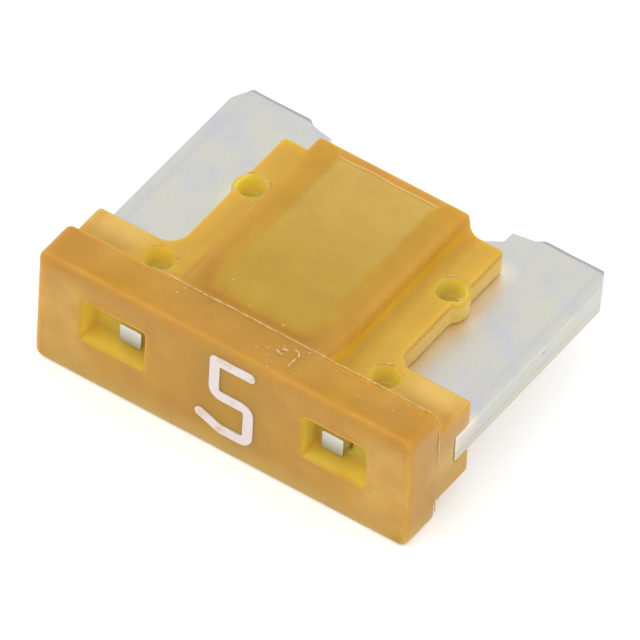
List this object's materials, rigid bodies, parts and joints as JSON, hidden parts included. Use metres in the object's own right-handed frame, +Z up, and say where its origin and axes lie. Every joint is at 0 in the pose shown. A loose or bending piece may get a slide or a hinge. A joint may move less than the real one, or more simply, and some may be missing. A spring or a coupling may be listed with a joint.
{
  "type": "automotive blade fuse",
  "caption": "Low-profile mini blade fuse: amber moulded body with a stamped metal element, flat blades, test windows in the head and a printed rating numeral.",
  "frame": {"origin": "centre of the bounding box in X and Y, on the surface that the fuse lies on", "axes": "+X across the fuse's width, +Y from the head's face towards the blade tips, +Z up through its thickness"},
  "size_m": [0.011, 0.0088, 0.0036],
  "materials": {
    "amber_nylon": "moulded translucent nylon, soft gloss",
    "plated_zinc": "stamped zinc alloy with a satin plating",
    "white_ink": "matt printing ink"
  },
  "bodies": {
    "root": {"housing": "amber_nylon", "fuse_element": "plated_zinc", "rating_mark": "white_ink"}
  },
  "joints": []
}
